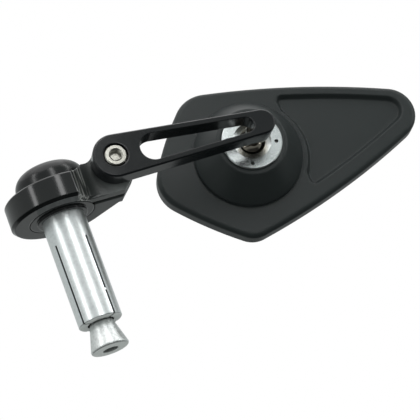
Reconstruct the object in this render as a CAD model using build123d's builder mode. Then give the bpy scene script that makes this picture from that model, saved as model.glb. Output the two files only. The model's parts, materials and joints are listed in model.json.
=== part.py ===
from build123d import *
import os
from math import cos, radians, sin, tan

# Motorcycle bar end mirror, in millimetres.
# The origin is the centre of the collar face that seats on the end of the handlebar.
# +Z runs out of the bar along the plug, +X runs from the plug to the arm's pivot,
# and the mirror glass faces +Y.

# Fits shared by the pieces
turn_play = 0.05        # radial gap of a shaft that turns in a hole
face_play = 0.05        # gap between flat faces that slide on each other
ball_play = 0.20        # radial gap between the nested spheres of the ball joint
bolt_hole_play = 0.20   # radial gap round a bolt in its clearance hole
edge_break = 0.4        # small chamfer on turned and milled edges

# Expanding plug that grips the inside of the bar
sleeve_d = 17.0
sleeve_len = 43.5
sleeve_bore_d = 10.4
slot_count = 4
slot_w = 0.8
slot_start = 11.0       # distance of the saw slots from the collar
slot_phase = -57.0      # angle of the first slot about Z
bridge_at = 33.0        # distance of the uncut bridge from the collar, in every other slot
bridge_len = 0.8
cone_neck_d = 9.0
cone_neck_len = 8.0     # straight neck inside the sleeve
cone_end_d = 14.7
cone_half_angle = 16.0
cone_land = 1.1         # straight edge at the wide end
cone_round = 0.9

# Collar and domed cap on either side of the clamp ring
spigot_len = 4.0
shoulder_d = 20.0       # step that seats on the end of the bar
shoulder_h = 0.9
flange_d = 25.6
flange_t = 2.0
flange_gap = 0.4        # gap round the flange in the ring's recess
neck_d = 20.0
cap_d = 27.8
cap_h = 10.0
cap_round = 6.2
cap_gap = 0.3           # gap between the cap and the ears that swing round it

# Long bolt that draws the cone into the sleeve
plug_bolt_d = 6.0
plug_head_d = 10.0
plug_head_h = 6.0
plug_hex = 5.0
plug_hex_depth = 3.0
plug_washer_lip = 0.3   # how far the washer stands out round the head
plug_washer_t = 1.0
plug_head_sink = 0.6    # how deep the head lies under the cap's top
plug_tip_sink = 3.0     # how far the bolt stops short of the cone's end

# Split clamp ring with its two ears
ring_d = 40.0
ring_h = 10.1
ring_chamfer = 0.6
ring_foot_chamfer = 1.1
eye_r = 8.8
pivot_x = 23.5          # pivot axis, which runs along Y
pivot_z = 12.3
front_ear_t = 3.75
slit_w = 3.0
rear_ear_t = 4.85
slit_y = -5.15          # middle of the slit
foot_x = 24.6           # end of the flat underside of the ears
relief_r = 9.0          # hollow in the ring's side that clears the arm's end
relief_edge_r = 2.0
ramp_start = 5.0        # foot of the ramp that climbs beside the cap to the ears
ramp_h = 4.5
ramp_shoulder = 3.5     # top of the ramp, from the eye's side
ear_root_r = 5.0        # hollow between the ramp and the eye

# Bolt on which the arm pivots
pivot_bolt_d = 5.0
pivot_head_d = 8.5
pivot_head_h = 5.0
pivot_hex = 4.0
pivot_hex_depth = 2.6
pivot_lead = 0.7        # width and depth of the bevel at the hexagon's mouth
pivot_head_proud = 0.2
lock_washer_lip = 0.35  # how far the washer stands out round the head
lock_washer_t = 1.0
friction_washer_d = 15.0
friction_washer_t = 0.5

# Slotted arm
arm_len = 59.8          # pivot axis to ball stud axis
arm_angle = -2.6        # slope of the arm at rest
arm_t = 8.0
arm_pivot_r = 8.8
arm_ball_r = 5.2
arm_rail = 2.3          # width of the rails beside the slot
arm_slot_from = 15.4    # near end of the slot, from the pivot
arm_slot_gap = 6.8      # far end of the slot, from the ball stud's axis
arm_chamfer = 0.5

# Ball stud and its socket
ball_d = 12.5
stud_thread_d = 6.0
stud_thread_len = 6.5
stud_collar_d = 9.6
stud_collar_t = 2.0
stud_neck_d = 5.0
ball_y = 5.0            # ball centre
liner_t = 0.8
liner_h = 6.0
seat_d = 19.0
seat_floor_t = 0.9
seat_front = 1.0        # front face of the seat, from the ball centre
spring_t = 0.6
spring_h = 1.3
spring_inset = 0.7      # how far the spring's edge lies inside the seat's
spring_bore_d = 10.0
socket_ring_d = 24.4
socket_ring_sink = 0.05  # how far the ring's face lies under the top of the ball
mouth_lip = 2.05        # how far the ring closes over the ball's socket
dish_w = 2.3
dish_depth = 1.2
pin_hole_d = 1.6
pin_hole_depth = 1.5
pin_hole_count = 4
pin_hole_phase = -20.0

# Mirror head
head_yaw = -5.5         # turn of the head on its ball at rest
head_t = 7.3
dome_base_d = 44.8
dome_side = 2.0         # straight side at the foot of the dome
dome_lip = 2.0          # width of the dome's rim round the socket ring
dome_step = 0.8         # depth of the rim under the face of the socket ring
dome_round = 0.8
back_depth = 9.7        # back of the head behind the ball centre
back_round = 2.0
rim_w = 2.2
rim_chamfer = 0.4
pad_t = 1.0
pad_margin = 2.0
glass_t = 2.0
glass_sink = 0.4        # depth of the glass under the rim
glass_play = 0.1        # gap between the glass and the rim
glass_bevel = 0.4

# Corners of the head's kite outline and their rounding, seen from behind, from the ball axis
corner_top = (-15.2, 33.4)
corner_tip = (89.7, -0.6)
corner_low = (-9.8, -34.7)
corner_left = (-41.9, -3.0)
corner_round = 14.0
tip_round = 11.6
low_round = 10.0

# Outward bow of the outline's four sides
bow_top = 4.35
bow_low = 4.3
bow_low_left = 1.5
bow_left = 2.0

# The outline runs clockwise, seen from behind
head_sides = (
    (corner_left, corner_top, bow_left),
    (corner_top, corner_tip, bow_top),
    (corner_tip, corner_low, bow_low),
    (corner_low, corner_left, bow_low_left),
)
head_corners = (
    (corner_left, corner_round),
    (corner_top, corner_round),
    (corner_tip, tip_round),
    (corner_low, low_round),
)

# Shallow triangular panel sunk into the back
panel_margin = 5.3
panel_rise = 1.4
panel_gap = 2.2         # strip of plate between the dome's foot and the panel
panel_horn_angle = 35.6  # where the panel's two horns end, round the dome
panel_depth = 2.0
panel_draft = 35.0
panel_corner_r = 2.6

# Places worked out from the sizes above
ring_z = shoulder_h
ring_top = ring_z + ring_h
flange_top = shoulder_h + flange_t
cap_z = ring_top + face_play
cap_top = cap_z + cap_h
plug_head_z = cap_top - plug_head_sink - plug_head_h
plug_washer_z = plug_head_z - plug_washer_t
sleeve_end = -sleeve_len
cone_flare = (cone_end_d - cone_neck_d) / 2 / tan(radians(cone_half_angle))
cone_end = sleeve_end - cone_flare - cone_land
plug_hole_r = plug_bolt_d / 2 + bolt_hole_play
plug_washer_d = plug_head_d + 2 * plug_washer_lip

ear_front = slit_y - slit_w / 2 - front_ear_t
ear_rear = slit_y + slit_w / 2 + rear_ear_t
ear_depth = ear_rear - ear_front
ear_top = pivot_z + eye_r
relief_x = pivot_x - arm_pivot_r - face_play
ramp_top = ring_top + ramp_h
arm_rear = ear_front - friction_washer_t
arm_front = arm_rear - arm_t
arm_slot_to = arm_len - arm_slot_gap
lock_washer_d = pivot_head_d + 2 * lock_washer_lip
pivot_head_y = arm_front - pivot_head_proud + pivot_head_h
arm_web = arm_rear - pivot_head_y - lock_washer_t

ball_centre = (
    pivot_x + arm_len * cos(radians(arm_angle)),
    ball_y,
    pivot_z + arm_len * sin(radians(arm_angle)),
)
ball_r = ball_d / 2
liner_in_r = ball_r + ball_play
liner_out_r = liner_in_r + liner_t
socket_r = liner_out_r + ball_play
socket_ring_front = ball_r - socket_ring_sink
socket_mouth_d = 2 * (socket_r - mouth_lip)
dish_d = socket_mouth_d + 2 * dish_w
pin_hole_pcd = (dish_d + socket_ring_d) / 2 - edge_break
seat_back = -(socket_r + seat_floor_t)
bore_floor = seat_back - face_play - spring_h
spring_d = seat_d - 2 * spring_inset
dome_top_d = socket_ring_d + 2 * dome_lip
dome_top = socket_ring_front - dome_step
head_front = -back_depth - head_t
glass_front = head_front + glass_sink
glass_back = glass_front + glass_t
pocket_floor = glass_back + pad_t
bore_r = seat_d / 2 + turn_play
panel_arc_r = dome_base_d / 2 + panel_gap
panel_start = panel_arc_r * cos(radians(panel_horn_angle))

# Planes of the arm and the head. Their local Z points to the back of the mirror.
arm_plane = Plane(
    origin=(pivot_x, arm_front, pivot_z),
    x_dir=(cos(radians(arm_angle)), 0, sin(radians(arm_angle))),
    z_dir=(0, -1, 0),
)
pivot_plane = Plane(origin=(pivot_x, 0, pivot_z), x_dir=(1, 0, 0), z_dir=(0, -1, 0))
stud_plane = Plane(origin=ball_centre, x_dir=(1, 0, 0), z_dir=(0, -1, 0))
head_plane = Plane(
    origin=ball_centre,
    x_dir=(cos(radians(head_yaw)), sin(radians(head_yaw)), 0),
    z_dir=(sin(radians(head_yaw)), -cos(radians(head_yaw)), 0),
)
section_plane = Plane(origin=ball_centre, x_dir=head_plane.x_dir, z_dir=-head_plane.y_dir)
head_axis = Axis(ball_centre, head_plane.z_dir)

os.makedirs("parts", exist_ok=True)


# Collar: spigot in the sleeve, shoulder on the bar end, flange under the clamp ring, neck that it turns on
with BuildPart() as collar:
    with BuildSketch(Plane.XY.offset(-spigot_len)):
        Circle(sleeve_bore_d / 2 - turn_play)
    extrude(amount=spigot_len)
    with BuildSketch(Plane.XY):
        Circle(shoulder_d / 2)
    extrude(amount=shoulder_h)
    with BuildSketch(Plane.XY.offset(shoulder_h)):
        Circle(flange_d / 2)
    extrude(amount=flange_t)
    chamfer(collar.faces().sort_by(Axis.Z)[-1].outer_wire().edges(), edge_break)
    with BuildSketch(Plane.XY.offset(flange_top)):
        Circle(neck_d / 2)
    extrude(amount=cap_z - flange_top)
    with Locations((0, 0, cap_z)):
        Hole(plug_hole_r)
collar.part.label = "collar"
export_step(collar.part, "parts/collar.step")


# Domed cap, with a counterbore for the long bolt
with BuildPart() as end_cap:
    with BuildSketch(Plane.XY.offset(cap_z)):
        Circle(cap_d / 2)
    extrude(amount=cap_h)
    fillet(end_cap.faces().sort_by(Axis.Z)[-1].outer_wire().edges(), cap_round)
    chamfer(end_cap.faces().sort_by(Axis.Z)[0].outer_wire().edges(), edge_break)
    with Locations((0, 0, cap_top)):
        CounterBoreHole(
            radius=plug_hole_r,
            counter_bore_radius=plug_washer_d / 2 + bolt_hole_play,
            counter_bore_depth=cap_top - plug_washer_z,
        )
end_cap.part.label = "end_cap"
export_step(end_cap.part, "parts/end_cap.step")


# Sleeve, sawn into fingers that spread; every other slot keeps a thin bridge
with BuildPart() as expander_sleeve:
    with BuildSketch(Plane.XY):
        Circle(sleeve_d / 2)
        Circle(sleeve_bore_d / 2, mode=Mode.SUBTRACT)
    extrude(amount=-sleeve_len)
    chamfer(expander_sleeve.faces().sort_by(Axis.Z)[0].outer_wire().edges(), edge_break)
    for slot in range(slot_count):
        cuts = [(slot_start, sleeve_len)]
        if slot % 2 == 0:
            cuts = [(slot_start, bridge_at), (bridge_at + bridge_len, sleeve_len)]
        for cut_from, cut_to in cuts:
            with BuildSketch(Plane.XY.offset(-cut_from)):
                with Locations(Location((0, 0, 0), (0, 0, slot_phase + slot * 360 / slot_count))):
                    Rectangle(sleeve_d, slot_w, align=(Align.MIN, Align.CENTER))
            extrude(amount=cut_from - cut_to, mode=Mode.SUBTRACT)
expander_sleeve.part.label = "expander_sleeve"
export_step(expander_sleeve.part, "parts/expander_sleeve.step")


# Cone that the bolt draws into the sleeve
with BuildPart() as expander_cone:
    with BuildSketch(Plane.XZ):
        with BuildLine():
            Polyline(
                (0, sleeve_end + cone_neck_len),
                (cone_neck_d / 2, sleeve_end + cone_neck_len),
                (cone_neck_d / 2, sleeve_end),
                (cone_end_d / 2, sleeve_end - cone_flare),
                (cone_end_d / 2, cone_end),
                (0, cone_end),
                close=True,
            )
        make_face()
    revolve(axis=Axis.Z)
    fillet(expander_cone.faces().sort_by(Axis.Z)[0].outer_wire().edges(), cone_round)
    with Locations((0, 0, sleeve_end + cone_neck_len)):
        Hole(plug_bolt_d / 2 + turn_play)
expander_cone.part.label = "expander_cone"
export_step(expander_cone.part, "parts/expander_cone.step")


# Long socket-head bolt through cap, collar and sleeve into the cone
with BuildPart() as plug_bolt:
    with BuildSketch(Plane.XY.offset(plug_head_z)):
        Circle(plug_head_d / 2)
    extrude(amount=plug_head_h)
    chamfer(plug_bolt.faces().sort_by(Axis.Z)[-1].outer_wire().edges(), edge_break)
    with BuildSketch(Plane.XY.offset(plug_head_z + plug_head_h)):
        RegularPolygon(plug_hex / 2, 6, major_radius=False)
    extrude(amount=-plug_hex_depth, mode=Mode.SUBTRACT)
    with BuildSketch(Plane.XY.offset(plug_head_z)):
        Circle(plug_bolt_d / 2)
    extrude(amount=cone_end + plug_tip_sink - plug_head_z)
    chamfer(plug_bolt.faces().sort_by(Axis.Z)[0].outer_wire().edges(), edge_break)
plug_bolt.part.label = "plug_bolt"
export_step(plug_bolt.part, "parts/plug_bolt.step")


# Plain washer under the long bolt's head
with BuildPart() as plug_bolt_washer:
    with BuildSketch(Plane.XY.offset(plug_washer_z)):
        Circle(plug_washer_d / 2)
        Circle(plug_hole_r, mode=Mode.SUBTRACT)
    extrude(amount=plug_washer_t)
plug_bolt_washer.part.label = "plug_bolt_washer"
export_step(plug_bolt_washer.part, "parts/plug_bolt_washer.step")


# Plan of the clamp ring: drawn out to the ears behind, and hollowed round the arm's end in front
with BuildSketch(Plane.XY) as ring_plan:
    Circle(ring_d / 2)
    Rectangle(foot_x, ear_rear, align=(Align.MIN, Align.MIN))
    make_hull()
    with Locations((0, ear_front)):
        Rectangle(foot_x, ear_depth, align=(Align.MIN, Align.MIN))
    with Locations((relief_x, ear_front - relief_r)):
        Circle(relief_r, mode=Mode.SUBTRACT)
    with Locations((relief_x, ear_front)):
        Rectangle(ring_d, ring_d, align=(Align.MIN, Align.MAX), mode=Mode.SUBTRACT)
    relief_corner = ring_plan.vertices().sort_by_distance((relief_x - relief_r, -ring_d / 2))[0]
    fillet(relief_corner, relief_edge_r)


# Root of the ears: a ramp beside the cap, hollowed up to the eye and cut to the ring's plan
with BuildPart() as ear_root:
    with BuildSketch(Plane.XZ.offset(-ear_rear)) as root_side:
        ramp_end = pivot_x - eye_r - ramp_shoulder
        with BuildLine():
            Polyline(
                (ramp_start, ring_z + ring_h / 2),
                (ramp_start, ring_top),
                (ramp_end, ramp_top),
                (pivot_x, ramp_top),
                (pivot_x, ring_z + ring_h / 2),
                close=True,
            )
        make_face()
        with Locations((pivot_x, pivot_z)):
            Circle(eye_r)
        fillet(root_side.vertices().sort_by_distance((pivot_x - eye_r, ramp_top))[0], ear_root_r)
    extrude(amount=ear_rear + ring_d / 2)
    with BuildSketch(Plane.XY.offset(ring_z)):
        add(ring_plan.sketch)
    extrude(amount=ear_top - ring_z, mode=Mode.INTERSECT)


# Split clamp ring: ring, two ears that rise into an eye round the pivot, and the pinch slit
with BuildPart() as clamp_ring:
    with BuildSketch(Plane.XY.offset(ring_z)):
        add(ring_plan.sketch)
    extrude(amount=ring_h)
    chamfer(clamp_ring.faces().sort_by(Axis.Z)[-1].outer_wire().edges(), ring_chamfer)
    chamfer(clamp_ring.faces().sort_by(Axis.Z)[0].outer_wire().edges(), ring_foot_chamfer)
    with BuildSketch(Plane.XZ.offset(-ear_front)):
        with Locations((pivot_x, pivot_z)):
            Circle(eye_r)
        with Locations((foot_x, ring_z)):
            Rectangle(foot_x - neck_d / 2, ring_h / 2, align=(Align.MAX, Align.MIN))
        make_hull()
    extrude(amount=-ear_depth)
    add(ear_root.part)
    with BuildSketch(Plane.XY.offset(ring_top)):
        Circle(cap_d / 2 + cap_gap)
    extrude(amount=ear_top, mode=Mode.SUBTRACT)
    with Locations((0, 0, ring_top)):
        Hole(neck_d / 2 + turn_play)
    with BuildSketch(Plane.XY.offset(ring_z)):
        Circle(flange_d / 2 + flange_gap)
    extrude(amount=flange_t + face_play, mode=Mode.SUBTRACT)
    with BuildSketch(Plane.XY.offset(ring_z)):
        with Locations((0, slit_y)):
            Rectangle(pivot_x + 2 * eye_r, slit_w, align=(Align.MIN, Align.CENTER))
    extrude(amount=ear_top, mode=Mode.SUBTRACT)
    with Locations(pivot_plane.offset(-ear_front)):
        Hole(pivot_bolt_d / 2 + turn_play)
clamp_ring.part.label = "clamp_ring"
export_step(clamp_ring.part, "parts/clamp_ring.step")


# Pivot bolt: socket head in the arm, shank through the ears
with BuildPart() as pivot_bolt:
    head_top = -arm_front + pivot_head_proud
    with BuildSketch(pivot_plane.offset(head_top)):
        Circle(pivot_head_d / 2)
    extrude(amount=-pivot_head_h)
    chamfer(pivot_bolt.faces().sort_by(Axis.Y)[0].outer_wire().edges(), edge_break)
    with BuildSketch(pivot_plane.offset(head_top)):
        RegularPolygon(pivot_hex / 2, 6, major_radius=False)
    extrude(amount=-pivot_hex_depth, mode=Mode.SUBTRACT)
    with Locations(pivot_plane.offset(head_top - pivot_lead / 2)):
        Cone(pivot_hex / 2, pivot_hex / 2 + pivot_lead, pivot_lead, mode=Mode.SUBTRACT)
    with BuildSketch(pivot_plane.offset(-pivot_head_y)):
        Circle(pivot_bolt_d / 2)
    extrude(amount=pivot_head_y - ear_rear)
pivot_bolt.part.label = "pivot_bolt"
export_step(pivot_bolt.part, "parts/pivot_bolt.step")


# Spring lock washer under the pivot bolt's head
with BuildPart() as pivot_lock_washer:
    with BuildSketch(pivot_plane.offset(-pivot_head_y)):
        Circle(lock_washer_d / 2)
        Circle(pivot_bolt_d / 2 + turn_play, mode=Mode.SUBTRACT)
    extrude(amount=-lock_washer_t)
pivot_lock_washer.part.label = "pivot_lock_washer"
export_step(pivot_lock_washer.part, "parts/pivot_lock_washer.step")


# Nylon friction washer between the arm and the front ear
with BuildPart() as friction_washer:
    with BuildSketch(pivot_plane.offset(-ear_front)):
        Circle(friction_washer_d / 2)
        Circle(pivot_bolt_d / 2 + turn_play, mode=Mode.SUBTRACT)
    extrude(amount=friction_washer_t - face_play)
friction_washer.part.label = "friction_washer"
export_step(friction_washer.part, "parts/friction_washer.step")


# Arm: two rounded ends joined by tapering rails, with a long slot between them
with BuildPart() as arm:
    with BuildSketch(arm_plane):
        Circle(arm_pivot_r)
        with Locations((arm_len, 0)):
            Circle(arm_ball_r)
        make_hull()
    extrude(amount=-arm_t)
    chamfer(arm.faces().sort_by(Axis.Y)[0].edges(), arm_chamfer)
    chamfer(arm.faces().sort_by(Axis.Y)[-1].edges(), arm_chamfer)
    taper = (arm_pivot_r - arm_ball_r) / arm_len
    with BuildSketch(arm_plane):
        for slot_end in (arm_slot_from, arm_slot_to):
            with Locations((slot_end, 0)):
                Circle(arm_pivot_r - taper * slot_end - arm_rail)
        make_hull()
    extrude(amount=-arm_t, mode=Mode.SUBTRACT)
    with Locations(arm_plane):
        CounterBoreHole(
            radius=pivot_bolt_d / 2 + turn_play,
            counter_bore_radius=lock_washer_d / 2 + bolt_hole_play,
            counter_bore_depth=arm_t - arm_web,
        )
    with BuildSketch(stud_plane.offset(ball_y - arm_rear)):
        Circle(stud_thread_d / 2)
    extrude(amount=stud_thread_len, mode=Mode.SUBTRACT)
arm.part.label = "arm"
export_step(arm.part, "parts/arm.step")


# Ball stud: thread in the arm, collar against it, waisted neck and ball
with BuildPart() as ball_stud:
    arm_reach = ball_y - arm_rear
    with BuildSketch(stud_plane):
        Circle(stud_neck_d / 2)
    extrude(amount=arm_reach)
    with BuildSketch(stud_plane.offset(arm_reach)):
        Circle(stud_collar_d / 2)
    extrude(amount=-stud_collar_t)
    chamfer(ball_stud.faces().sort_by(Axis.Y)[0].outer_wire().edges(), edge_break)
    with BuildSketch(stud_plane.offset(arm_reach)):
        Circle(stud_thread_d / 2)
    extrude(amount=stud_thread_len)
    with Locations(stud_plane):
        Sphere(ball_r)
ball_stud.part.label = "ball_stud"
export_step(ball_stud.part, "parts/ball_stud.step")


# Nylon liner: a spherical band round the ball
with BuildPart(head_plane) as ball_liner:
    Sphere(liner_out_r)
    Sphere(liner_in_r, mode=Mode.SUBTRACT)
    Cylinder(seat_d / 2, liner_h, mode=Mode.INTERSECT)
ball_liner.part.label = "ball_liner"
export_step(ball_liner.part, "parts/ball_liner.step")


# Nylon seat: a cup behind the liner, pushed forward by the disc spring
with BuildPart(head_plane) as ball_seat:
    with BuildSketch(head_plane.offset(seat_back)):
        Circle(seat_d / 2)
    extrude(amount=seat_front - seat_back)
    Sphere(socket_r, mode=Mode.SUBTRACT)
ball_seat.part.label = "ball_seat"
export_step(ball_seat.part, "parts/ball_seat.step")


# Disc spring: a shallow cone of sheet steel
with BuildPart() as disc_spring:
    with BuildSketch(section_plane):
        with BuildLine():
            Polyline(
                (spring_bore_d / 2, bore_floor + spring_h - spring_t),
                (spring_bore_d / 2, bore_floor + spring_h),
                (spring_d / 2, bore_floor + spring_t),
                (spring_d / 2, bore_floor),
                close=True,
            )
        make_face()
    revolve(axis=head_axis)
disc_spring.part.label = "disc_spring"
export_step(disc_spring.part, "parts/disc_spring.step")


# Socket ring: bright ring screwed into the dome, dished round the ball, with pin-spanner holes
with BuildPart(head_plane) as socket_ring:
    with BuildSketch(head_plane.offset(seat_front + face_play)):
        Circle(socket_ring_d / 2)
    extrude(amount=socket_ring_front - seat_front - face_play)
    chamfer(socket_ring.faces().sort_by(head_axis)[-1].outer_wire().edges(), edge_break)
    Sphere(socket_r, mode=Mode.SUBTRACT)
    with BuildSketch(head_plane):
        Circle(socket_mouth_d / 2)
    extrude(amount=socket_ring_front, mode=Mode.SUBTRACT)
    with Locations((0, 0, socket_ring_front - dish_depth / 2)):
        Cone(socket_mouth_d / 2, dish_d / 2, dish_depth, mode=Mode.SUBTRACT)
    with BuildSketch(head_plane.offset(socket_ring_front)):
        with PolarLocations(pin_hole_pcd / 2, pin_hole_count, start_angle=pin_hole_phase):
            Circle(pin_hole_d / 2)
    extrude(amount=-pin_hole_depth, mode=Mode.SUBTRACT)
socket_ring.part.label = "socket_ring"
export_step(socket_ring.part, "parts/socket_ring.step")


# Outline of the head, drawn in by a margin: a kite with bowed sides, the overlap of four large discs
def head_profile(margin):
    with BuildSketch(Plane.XY) as profile:
        for side, (start, end, bow) in enumerate(head_sides):
            chord = Vector(end) - Vector(start)
            outward = Vector(-chord.Y, chord.X).normalized()
            disc_r = (chord.length**2 / 4 + bow**2) / (2 * bow)
            disc_centre = (Vector(start) + Vector(end)) / 2 - outward * (disc_r - bow)
            with Locations(disc_centre):
                Circle(disc_r - margin, mode=Mode.INTERSECT if side else Mode.ADD)
        for corner, rounding in head_corners:
            fillet(profile.vertices().sort_by_distance(corner)[0], rounding - margin)
    return profile.sketch


# Outline of the sunk panel, hollowed round the foot of the dome
panel_blank = head_profile(panel_margin)
with BuildSketch(Plane.XY) as panel_outline:
    with Locations((0, panel_rise)):
        add(panel_blank)
    Circle(panel_arc_r, mode=Mode.SUBTRACT)
    with Locations((panel_start, 0)):
        Rectangle(6 * panel_arc_r, 6 * panel_arc_r, align=(Align.MAX, Align.CENTER), mode=Mode.SUBTRACT)
    fillet(panel_outline.vertices().group_by(Axis.X)[0], panel_corner_r)


# Housing: plate with a glass pocket in front, and a dome behind that holds the ball joint
plate_outline = head_profile(0)
pocket_outline = head_profile(rim_w)
with BuildPart() as mirror_housing:
    with BuildSketch(head_plane.offset(head_front)):
        add(plate_outline)
    extrude(amount=head_t)
    fillet(mirror_housing.faces().sort_by(head_axis)[-1].edges(), back_round)
    chamfer(mirror_housing.faces().sort_by(head_axis)[0].edges(), rim_chamfer)
    with BuildSketch(head_plane.offset(-back_depth)):
        add(panel_outline.sketch)
    extrude(amount=-panel_depth, taper=panel_draft, mode=Mode.SUBTRACT)
    with BuildSketch(section_plane) as dome_section:
        with BuildLine():
            Polyline(
                (0, -back_depth),
                (dome_base_d / 2, -back_depth),
                (dome_base_d / 2, dome_side - back_depth),
                (dome_top_d / 2, dome_top),
                (0, dome_top),
                close=True,
            )
        make_face()
        fillet(dome_section.vertices().sort_by_distance((dome_top_d / 2, dome_top))[0], dome_round)
    revolve(axis=head_axis)
    with BuildSketch(head_plane.offset(seat_front)):
        Circle(socket_ring_d / 2)
    extrude(amount=dome_top - seat_front, mode=Mode.SUBTRACT)
    with BuildSketch(head_plane.offset(bore_floor)):
        Circle(bore_r)
    extrude(amount=seat_front - bore_floor, mode=Mode.SUBTRACT)
    with BuildSketch(head_plane.offset(head_front)):
        add(pocket_outline)
    extrude(amount=pocket_floor - head_front, mode=Mode.SUBTRACT)
mirror_housing.part.label = "mirror_housing"
export_step(mirror_housing.part, "parts/mirror_housing.step")


# Adhesive foam pad behind the glass
pad_outline = head_profile(rim_w + pad_margin)
with BuildPart() as glass_pad:
    with BuildSketch(head_plane.offset(glass_back)):
        add(pad_outline)
    extrude(amount=pad_t)
glass_pad.part.label = "glass_pad"
export_step(glass_pad.part, "parts/glass_pad.step")


# Mirror glass, bevelled round its front edge
glass_outline = head_profile(rim_w + glass_play)
with BuildPart() as mirror_glass:
    with BuildSketch(head_plane.offset(glass_front)):
        add(glass_outline)
    extrude(amount=glass_t)
    chamfer(mirror_glass.faces().sort_by(head_axis)[0].edges(), glass_bevel)
mirror_glass.part.label = "mirror_glass"
export_step(mirror_glass.part, "parts/mirror_glass.step")
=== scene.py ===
"""Looks of a motorcycle bar end mirror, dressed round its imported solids. Lengths are in metres."""

import json
import math
from collections import namedtuple

import bpy
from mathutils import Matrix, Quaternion, Vector


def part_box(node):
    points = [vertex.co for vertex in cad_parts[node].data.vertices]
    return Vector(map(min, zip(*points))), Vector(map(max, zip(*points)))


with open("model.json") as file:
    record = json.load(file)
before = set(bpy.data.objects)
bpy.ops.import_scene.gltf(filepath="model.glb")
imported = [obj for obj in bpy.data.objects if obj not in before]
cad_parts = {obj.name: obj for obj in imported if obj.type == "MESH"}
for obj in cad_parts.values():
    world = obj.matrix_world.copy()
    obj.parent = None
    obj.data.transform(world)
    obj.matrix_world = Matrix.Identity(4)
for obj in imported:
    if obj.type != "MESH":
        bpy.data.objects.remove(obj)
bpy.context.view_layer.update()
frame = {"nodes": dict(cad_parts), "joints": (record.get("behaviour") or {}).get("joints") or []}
nodes = frame["nodes"]
joints = {joint["name"]: joint for joint in frame["joints"]}

MM = 0.001
BLACK = (0, 0, 0, 1)
WHITE = (1, 1, 1, 1)

# The camera of the photograph: where it stands, how it is turned, and its focal length in pixels
IMAGE_SIZE = 420
CAMERA_AT = (-0.1140, -0.5440, -0.1933)
CAMERA_AZIMUTH = -17.347
CAMERA_ELEVATION = -17.549
CAMERA_ROLL = -21.726
CAMERA_FOCAL_PIXELS = 1534.0
CAMERA_CLIP_START = 0.01
SENSOR_WIDTH = 36.0

# The studio: a pale floor, a glowing grey wall all round, and a fill light from the world
FLOOR_HEIGHT = -0.75
FLOOR_SIZE = 30.0
FLOOR_GRAIN = 0.05
FLOOR_GLOW = 0.45
WALL_RADIUS = 1.9
WALL_TOP = 1.7
WALL_STEPS = 48
WALL_GLOW = 0.60
WORLD_FILL = 0.62
STUDIO_TINT = (0.95, 1.0, 0.99, 1)

# Level cards below the object: a dark one, just above a larger grey one
Card = namedtuple("Card", "height size glow")
CARDS = {
    "dark_card": Card(height=-0.34, size=0.9, glow=0.008),
    "grey_card": Card(height=-0.36, size=3.4, glow=0.33),
}

# Soft lamps, whose azimuth and elevation are degrees seen from the object
Lamp = namedtuple("Lamp", "azimuth elevation distance width height radiance")
LAMPS = {
    "strip_left": Lamp(-56, 24, distance=0.9, width=0.126, height=0.79, radiance=4.6),
    "strip_front": Lamp(7, 24, distance=0.5, width=0.085, height=0.44, radiance=5.0),
    "strip_right": Lamp(64, 20, distance=0.4, width=0.070, height=0.40, radiance=3.6),
    "overhead": Lamp(20, 80, distance=1.2, width=1.6, height=1.2, radiance=0.8),
}

# Axes that the turned pieces were made about: a point and a direction
PLUG_AXIS = (Vector((0, 0, 0)), Vector((0, 0, 1)))
PIVOT_AXIS = (Vector(joints["arm_pivot"]["pos_m"]), Vector(joints["arm_pivot"]["axis"]))
BALL_AXIS = (Vector(joints["head_spin"]["pos_m"]), Vector(joints["head_spin"]["axis"]))

# Zones of the clamp ring, from where each one begins to where it is full, along X or Y
MILLED_X = (4.6 * MM, 6.0 * MM)
TOOL_MARKS_X = (11 * MM, 6.5 * MM)
EARS_X = (12 * MM, 16 * MM)
# The ears' front face below the arm, which is painted light grey as painted light
PAINTED_LIGHT_EAR_X = (15 * MM, 21 * MM)
PAINTED_LIGHT_EAR_Y = (-9.9 * MM, -10.3 * MM)

# A sawn foot is matt up to the first height above its lowest point, and polished from the second
SAWN_HEIGHT = 0.1 * MM
POLISHED_HEIGHT = 0.3 * MM

# Open share of the space round a point: painted shade in corners and holes begins at the first and is full
# at the second
CORNER_SHADE_START = 0.75
CORNER_SHADE_FULL = 0.15

LEAST_ROUGHNESS = 0.02
EDGE_SAMPLES = 8


def srgb(red, green, blue):
    """A colour given in 0 to 255, as the linear colour that a shader takes."""
    parts = [value / 255 for value in (red, green, blue)]
    linear = [v / 12.92 if v <= 0.04045 else ((v + 0.055) / 1.055) ** 2.4 for v in parts]
    return (*linear, 1)


ANODISED_BLACK = srgb(8, 11, 11)
STEEL = srgb(182, 180, 172)
# Colour of the painted shade in corners and holes
CORNER_SHADE_COLOR = srgb(70, 70, 68)
SAWN_METAL = srgb(200, 203, 201)


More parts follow.
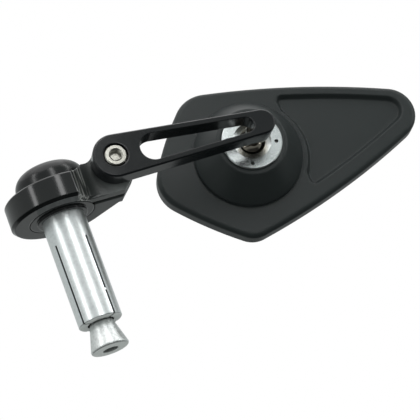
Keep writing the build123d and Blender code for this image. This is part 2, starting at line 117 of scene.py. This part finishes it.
class Finish:
    """A node material with one Principled shader, and the few patterns that the finishes share."""

    def __init__(self, name, color, metallic=0.0, roughness=0.4, **sockets):
        self.material = bpy.data.materials.new(name)
        self.material.use_nodes = True
        self.tree = self.material.node_tree
        self.shader = self.tree.nodes["Principled BSDF"]
        self.shader.inputs["Base Color"].default_value = color
        self.shader.inputs["Metallic"].default_value = metallic
        self.shader.inputs["Roughness"].default_value = roughness
        for socket, value in sockets.items():
            self.shader.inputs[socket.replace("_", " ")].default_value = value
        self.color = color
        self.roughness = roughness
        self.tint = None
        self.normal = None

    def add(self, kind, **settings):
        """A new node with some settings."""
        node = self.tree.nodes.new(kind)
        for setting, value in settings.items():
            setattr(node, setting, value)
        return node

    def link(self, source, target):
        """Feeds one node's output to another's input."""
        self.tree.links.new(source, target)

    def place(self):
        """Places on the piece, in metres in the row frame at rest."""
        return self.add("ShaderNodeTexCoord").outputs["Object"]

    def along(self, letter):
        """Place along one axis of the row frame."""
        apart = self.add("ShaderNodeSeparateXYZ")
        self.link(self.place(), apart.inputs[0])
        return apart.outputs[letter]

    def around(self, axis):
        """Distance from an axis and height along it, as a vector's X and Z."""
        centre, heading = axis
        shift = self.add("ShaderNodeVectorMath", operation="SUBTRACT")
        self.link(self.place(), shift.inputs[0])
        shift.inputs[1].default_value = centre
        turn = self.add("ShaderNodeMapping")
        self.link(shift.outputs[0], turn.inputs["Vector"])
        turn.inputs["Rotation"].default_value = heading.rotation_difference(Vector((0, 0, 1))).to_euler()
        apart = self.add("ShaderNodeSeparateXYZ")
        self.link(turn.outputs[0], apart.inputs[0])
        flat = self.add("ShaderNodeCombineXYZ")
        self.link(apart.outputs["X"], flat.inputs["X"])
        self.link(apart.outputs["Y"], flat.inputs["Y"])
        distance = self.add("ShaderNodeVectorMath", operation="LENGTH")
        self.link(flat.outputs[0], distance.inputs[0])
        both = self.add("ShaderNodeCombineXYZ")
        self.link(distance.outputs["Value"], both.inputs["X"])
        self.link(apart.outputs["Z"], both.inputs["Z"])
        return both.outputs[0]

    def noise(self, vector, grain, detail=3.0, stretch=(1, 1, 1)):
        """Noise whose grains are about the given size, stretched along the axes."""
        scale = self.add("ShaderNodeVectorMath", operation="MULTIPLY")
        self.link(vector, scale.inputs[0])
        scale.inputs[1].default_value = [1 / (grain * s) for s in stretch]
        texture = self.add("ShaderNodeTexNoise")
        texture.inputs["Scale"].default_value = 1.0
        texture.inputs["Detail"].default_value = detail
        self.link(scale.outputs[0], texture.inputs["Vector"])
        return texture.outputs["Fac"]

    def ramp(self, value, start, end, low=0.0, high=1.0):
        """Goes from low to high as the value goes from start to end."""
        node = self.add("ShaderNodeMapRange")
        node.inputs["From Min"].default_value = start
        node.inputs["From Max"].default_value = end
        node.inputs["To Min"].default_value = low
        node.inputs["To Max"].default_value = high
        self.link(value, node.inputs["Value"])
        return node.outputs["Result"]

    def product(self, first, second):
        """Two patterns multiplied."""
        node = self.add("ShaderNodeMath", operation="MULTIPLY")
        self.link(first, node.inputs[0])
        self.link(second, node.inputs[1])
        return node.outputs["Value"]

    def soften_edges(self, radius):
        """Shades sharp edges as if they were rounded."""
        node = self.add("ShaderNodeBevel", samples=EDGE_SAMPLES)
        node.inputs["Radius"].default_value = radius
        self.normal = node.outputs["Normal"]
        self.link(self.normal, self.shader.inputs["Normal"])

    def bump(self, height, depth):
        """Raises the surface by up to the given depth, on top of earlier bumps."""
        node = self.add("ShaderNodeBump")
        node.inputs["Strength"].default_value = 1.0
        node.inputs["Distance"].default_value = depth
        self.link(height, node.inputs["Height"])
        if self.normal:
            self.link(self.normal, node.inputs["Normal"])
        self.normal = node.outputs["Normal"]
        self.link(self.normal, self.shader.inputs["Normal"])

    def blend_roughness(self, pattern, low, high):
        """Takes the roughness from low to high as the pattern goes from 0 to 1."""
        self.link(self.ramp(pattern, 0, 1, low, high), self.shader.inputs["Roughness"])

    def vary_roughness(self, pattern, spread):
        """Lets the roughness swing about its value by the given spread."""
        self.blend_roughness(pattern, max(self.roughness - spread, LEAST_ROUGHNESS), self.roughness + spread)

    def vary_color(self, pattern, other):
        """Drifts from the colour so far to another one as the pattern goes from 0 to 1."""
        mix = self.add("ShaderNodeMix", data_type="RGBA")
        before, after = [socket for socket in mix.inputs if socket.type == "RGBA"]
        before.default_value = self.color
        after.default_value = other
        if self.tint:
            self.link(self.tint, before)
        self.link(pattern, mix.inputs["Factor"])
        self.tint = next(socket for socket in mix.outputs if socket.type == "RGBA")
        self.link(self.tint, self.shader.inputs["Base Color"])

    def paint_corner_shade(self, reach):
        """Paints shade into corners and holes that are narrower than the reach, as a darker colour."""
        corners = self.add("ShaderNodeAmbientOcclusion")
        corners.inputs["Distance"].default_value = reach
        self.vary_color(self.ramp(corners.outputs["AO"], CORNER_SHADE_START, CORNER_SHADE_FULL), CORNER_SHADE_COLOR)

    def matt_foot(self, node):
        """Dulls the sawn face at a node's foot, where the metal scatters light."""
        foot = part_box(node)[0].z
        sawn = foot + SAWN_HEIGHT
        polished = foot + POLISHED_HEIGHT
        height = self.along("Z")
        self.vary_color(self.ramp(height, polished, sawn), SAWN_METAL)
        self.link(self.ramp(height, sawn, polished), self.shader.inputs["Metallic"])


def turned_black(name, axis, roughness, ior):
    """Gloss black anodising over fine lathe marks."""
    finish = Finish(name, ANODISED_BLACK, roughness=roughness, IOR=ior)
    finish.soften_edges(radius=0.5 * MM)
    marks = finish.noise(finish.around(axis), grain=0.12 * MM, detail=2)
    finish.bump(marks, depth=0.004 * MM)
    haze = finish.noise(finish.place(), grain=6 * MM)
    finish.vary_roughness(haze, spread=0.04)
    return finish.material


def clamp_black(name):
    """Gloss black anodising on the turned ring, and duller milling with tool marks where its ears begin. The
    milled zone and the ears are lighter, partly their own tone and partly painted light, and the ears' front
    face below the arm gets a painted light grey.
    """
    finish = Finish(name, ANODISED_BLACK, IOR=1.5)
    finish.soften_edges(radius=0.5 * MM)
    across = finish.along("X")
    # Painted light in part: the milled zone and the ears get lighter greys, their duller milled tone lifted
    # to stand in for light that their shaded faces miss
    milled = finish.ramp(across, *MILLED_X)
    finish.vary_color(milled, srgb(36, 39, 38))
    finish.vary_color(finish.ramp(across, *EARS_X), srgb(50, 53, 52))
    # Painted light: the ears' front face, which lies in the arm's shade, is painted light grey
    front = finish.ramp(finish.along("Y"), *PAINTED_LIGHT_EAR_Y)
    foot = finish.product(front, finish.ramp(across, *PAINTED_LIGHT_EAR_X))
    finish.vary_color(foot, srgb(92, 95, 94))
    strokes = finish.noise(finish.place(), grain=0.7 * MM, detail=2, stretch=(1, 1, 20))
    near = finish.product(milled, finish.ramp(across, *TOOL_MARKS_X))
    bare = finish.product(near, finish.ramp(strokes, start=0.50, end=0.58))
    finish.vary_color(bare, srgb(215, 216, 212))
    finish.link(bare, finish.shader.inputs["Metallic"])
    finish.blend_roughness(milled, low=0.15, high=0.36)
    finish.bump(strokes, depth=0.006 * MM)
    return finish.material


def milled_black(name):
    """Satin black anodising over milling, with the grain along the arm."""
    finish = Finish(name, srgb(12, 15, 17), roughness=0.17, IOR=1.42)
    finish.soften_edges(radius=0.7 * MM)
    grain = finish.noise(finish.place(), grain=0.1 * MM, detail=2, stretch=(8, 1, 1))
    finish.bump(grain, depth=0.004 * MM)
    haze = finish.noise(finish.place(), grain=8 * MM)
    finish.vary_roughness(haze, spread=0.07)
    return finish.material


def satin_black(name):
    """Satin black paint with a very fine orange peel."""
    finish = Finish(name, srgb(29, 34, 34), roughness=0.42, IOR=1.5, Specular_IOR_Level=0.30)
    finish.soften_edges(radius=1.2 * MM)
    peel = finish.noise(finish.place(), grain=0.5 * MM, detail=2)
    finish.bump(peel, depth=0.006 * MM)
    cloud = finish.noise(finish.place(), grain=14 * MM, detail=4)
    finish.vary_roughness(cloud, spread=0.05)
    finish.vary_color(cloud, srgb(33, 38, 38))
    return finish.material


def turned_metal(name, axis, color, roughness, pitch, stain=0.84, corner_shade_reach=1.6 * MM, sawn_node=None):
    """Bright metal with lathe marks about an axis, faint stains, painted shade in its holes and corners and,
    if named, a sawn foot.
    """
    finish = Finish(name, color, metallic=1.0, roughness=roughness)
    places = finish.around(axis)
    finish.bump(finish.noise(places, grain=pitch, detail=2), depth=0.008 * MM)
    bands = finish.noise(places, grain=2.5 * MM, detail=4)
    finish.vary_roughness(bands, spread=0.07)
    mottle = finish.noise(finish.place(), grain=1.2 * MM, detail=5)
    stained = (*[stain * part for part in color[:3]], 1)
    finish.vary_color(finish.ramp(mottle, start=0.45, end=0.75), stained)
    if sawn_node:
        finish.matt_foot(sawn_node)
    # Painted shade: corners and holes get a darker colour
    finish.paint_corner_shade(corner_shade_reach)
    return finish.material


def polished_metal(name, color, roughness):
    """Polished steel with faint hairlines."""
    finish = Finish(name, color, metallic=1.0, roughness=roughness)
    hairlines = finish.noise(finish.place(), grain=0.2 * MM, stretch=(6, 1, 1))
    finish.bump(hairlines, depth=0.001 * MM)
    haze = finish.noise(finish.place(), grain=3 * MM)
    finish.vary_roughness(haze, spread=0.03)
    return finish.material


def moulded_nylon(name):
    """Milky nylon with a faint moulded grain."""
    finish = Finish(name, srgb(226, 222, 212), roughness=0.5)
    grain = finish.noise(finish.place(), grain=0.3 * MM)
    finish.bump(grain, depth=0.01 * MM)
    cloud = finish.noise(finish.place(), grain=4 * MM)
    finish.vary_color(cloud, srgb(216, 212, 200))
    return finish.material


def foam_tape(name):
    """Black closed-cell foam."""
    finish = Finish(name, srgb(36, 36, 36), roughness=0.9)
    cells = finish.noise(finish.place(), grain=0.4 * MM, detail=5)
    finish.bump(cells, depth=0.08 * MM)
    cloud = finish.noise(finish.place(), grain=1 * MM)
    finish.vary_color(cloud, srgb(48, 48, 48))
    return finish.material


def silvered_glass(name):
    """Mirror glass with a faint waviness."""
    finish = Finish(name, srgb(226, 230, 232), metallic=1.0, roughness=0.02)
    waves = finish.noise(finish.place(), grain=40 * MM)
    finish.bump(waves, depth=0.004 * MM)
    haze = finish.noise(finish.place(), grain=9 * MM, detail=5)
    finish.vary_roughness(haze, spread=0.012)
    return finish.material


def dress(material, *names):
    """Gives CAD nodes a finish."""
    for name in names:
        mesh = nodes[name].data
        mesh.materials.clear()
        mesh.materials.append(material)


# Black pieces
dress(turned_black("turned_collar", PLUG_AXIS, roughness=0.13, ior=1.5), "collar")
dress(turned_black("turned_cap", PLUG_AXIS, roughness=0.22, ior=1.43), "end_cap")
dress(clamp_black("clamp_black"), "clamp_ring")
dress(milled_black("milled_black"), "arm")
dress(satin_black("satin_black_paint"), "mirror_housing")

# Bright metal pieces
sleeve_metal = turned_metal(
    "turned_sleeve", PLUG_AXIS, srgb(220, 224, 224), roughness=0.34, pitch=0.10 * MM,
    sawn_node="expander_sleeve",
)
dress(sleeve_metal, "expander_sleeve")
cone_metal = turned_metal(
    "cast_cone", PLUG_AXIS, srgb(219, 222, 221), roughness=0.42, pitch=0.30 * MM,
    stain=0.72, corner_shade_reach=1 * MM, sawn_node="expander_cone",
)
dress(cone_metal, "expander_cone")
socket_metal = turned_metal(
    "turned_socket", BALL_AXIS, srgb(206, 211, 211), roughness=0.19, pitch=0.25 * MM, stain=0.9,
)
dress(socket_metal, "socket_ring")
plug_bolt_steel = turned_metal("turned_plug_bolt", PLUG_AXIS, STEEL, roughness=0.25, pitch=0.15 * MM)
dress(plug_bolt_steel, "plug_bolt", "plug_bolt_washer")
pivot_bolt_steel = turned_metal("turned_pivot_bolt", PIVOT_AXIS, STEEL, roughness=0.25, pitch=0.15 * MM)
dress(pivot_bolt_steel, "pivot_bolt", "pivot_lock_washer")
spring_steel = turned_metal("spring_steel", BALL_AXIS, srgb(150, 148, 142), roughness=0.35, pitch=0.15 * MM)
dress(spring_steel, "disc_spring")
dress(polished_metal("polished_ball", srgb(134, 128, 118), roughness=0.14), "ball_stud")

# Plastic, foam and glass pieces
dress(moulded_nylon("moulded_nylon"), "friction_washer", "ball_liner", "ball_seat")
dress(foam_tape("closed_cell_foam"), "glass_pad")
dress(silvered_glass("silvered_glass"), "mirror_glass")


def direction(azimuth, elevation):
    """Unit vector from the object: azimuth 0 is the photographer's side, -Y, and 90 is +X."""
    a = math.radians(azimuth)
    e = math.radians(elevation)
    return Vector((math.sin(a) * math.cos(e), -math.cos(a) * math.cos(e), math.sin(e)))


def stage_mesh(name, points, faces, material):
    """A mesh of the studio, which isn't part of the object."""
    mesh = bpy.data.meshes.new(name)
    mesh.from_pydata(points, [], faces)
    mesh.materials.append(material)
    piece = bpy.data.objects.new(name, mesh)
    bpy.context.collection.objects.link(piece)
    return piece


def stage_square(name, size, height, material):
    """A level square of the studio, about the vertical through the origin."""
    half = size / 2
    corners = [(-half, -half, height), (half, -half, height), (half, half, height), (-half, half, height)]
    return stage_mesh(name, corners, [(0, 1, 2, 3)], material)


def background_rays(tree):
    """1 on the rays by which the camera sees the background, straight or in metal and glass."""
    rays = tree.nodes.new("ShaderNodeLightPath")
    seen = rays.outputs["Is Camera Ray"]
    for kind in ("Is Glossy Ray", "Is Transmission Ray"):
        either = tree.nodes.new("ShaderNodeMath")
        either.operation = "MAXIMUM"
        tree.links.new(seen, either.inputs[0])
        tree.links.new(rays.outputs[kind], either.inputs[1])
        seen = either.outputs["Value"]
    return seen


def make_floor():
    """Plain pale floor, which glows a little where it is seen as background."""
    paint = Finish("floor_paint", srgb(222, 223, 222), roughness=0.8, Emission_Color=WHITE)
    paint.vary_roughness(paint.noise(paint.place(), FLOOR_GRAIN), spread=0.05)
    glow = paint.ramp(background_rays(paint.tree), 0, 1, high=FLOOR_GLOW)
    paint.link(glow, paint.shader.inputs["Emission Strength"])
    stage_square("floor", FLOOR_SIZE, FLOOR_HEIGHT, paint.material)


def make_walls():
    """Grey studio wall all round, which the camera sees only in reflections."""
    points = []
    for step in range(WALL_STEPS):
        side = direction(360 * step / WALL_STEPS, 0) * WALL_RADIUS
        points += [(side.x, side.y, FLOOR_HEIGHT), (side.x, side.y, WALL_TOP)]
    count = len(points)
    faces = [(low, (low + 2) % count, (low + 3) % count, low + 1) for low in range(0, count, 2)]
    paint = Finish("wall_paint", BLACK, Emission_Color=STUDIO_TINT, Emission_Strength=WALL_GLOW)
    wall = stage_mesh("studio_wall", points, faces, paint.material)
    wall.visible_camera = False


def make_cards():
    """Cards under the object, seen only in reflections."""
    for name, card in CARDS.items():
        paint = Finish(name, BLACK, Emission_Color=STUDIO_TINT, Emission_Strength=card.glow)
        piece = stage_square(name, card.size, card.height, paint.material)
        piece.visible_camera = False
        piece.visible_diffuse = False
        piece.visible_shadow = False


def make_lamps():
    """Area lamps that face the object."""
    for name, lamp in LAMPS.items():
        light = bpy.data.lights.new(name, "AREA")
        light.shape = "RECTANGLE"
        light.size = lamp.width
        light.size_y = lamp.height
        light.energy = lamp.radiance * math.pi * lamp.width * lamp.height
        piece = bpy.data.objects.new(name, light)
        bpy.context.collection.objects.link(piece)
        side = direction(lamp.azimuth, lamp.elevation)
        piece.location = side * lamp.distance
        piece.rotation_euler = side.to_track_quat("Z", "Y").to_euler()
        piece.visible_camera = False


def make_world():
    """White where it is seen as background, and a softer fill light otherwise."""
    world = bpy.data.worlds.new("studio")
    bpy.context.scene.world = world
    world.use_nodes = True
    tree = world.node_tree
    tree.nodes.clear()
    mix = tree.nodes.new("ShaderNodeMixShader")
    tree.links.new(background_rays(tree), mix.inputs["Fac"])
    for slot, color, strength in ((1, STUDIO_TINT, WORLD_FILL), (2, WHITE, 1.0)):
        shade = tree.nodes.new("ShaderNodeBackground")
        shade.inputs["Color"].default_value = color
        shade.inputs["Strength"].default_value = strength
        tree.links.new(shade.outputs[0], mix.inputs[slot])
    output = tree.nodes.new("ShaderNodeOutputWorld")
    tree.links.new(mix.outputs[0], output.inputs["Surface"])


def make_camera():
    """Camera that stands where the photograph was taken."""
    camera = bpy.data.objects.new("camera", bpy.data.cameras.new("camera"))
    bpy.context.collection.objects.link(camera)
    camera.data.sensor_width = SENSOR_WIDTH
    camera.data.lens = CAMERA_FOCAL_PIXELS / IMAGE_SIZE * SENSOR_WIDTH
    camera.data.clip_start = CAMERA_CLIP_START
    back = direction(CAMERA_AZIMUTH, CAMERA_ELEVATION)
    level = (-back).to_track_quat("-Z", "Y")
    roll = Quaternion((0, 0, 1), math.radians(CAMERA_ROLL))
    camera.rotation_mode = "QUATERNION"
    camera.rotation_quaternion = level @ roll
    camera.location = CAMERA_AT
    bpy.context.scene.camera = camera


make_floor()
make_walls()
make_cards()
make_lamps()
make_world()
make_camera()
bpy.context.scene.view_settings.view_transform = "Standard"
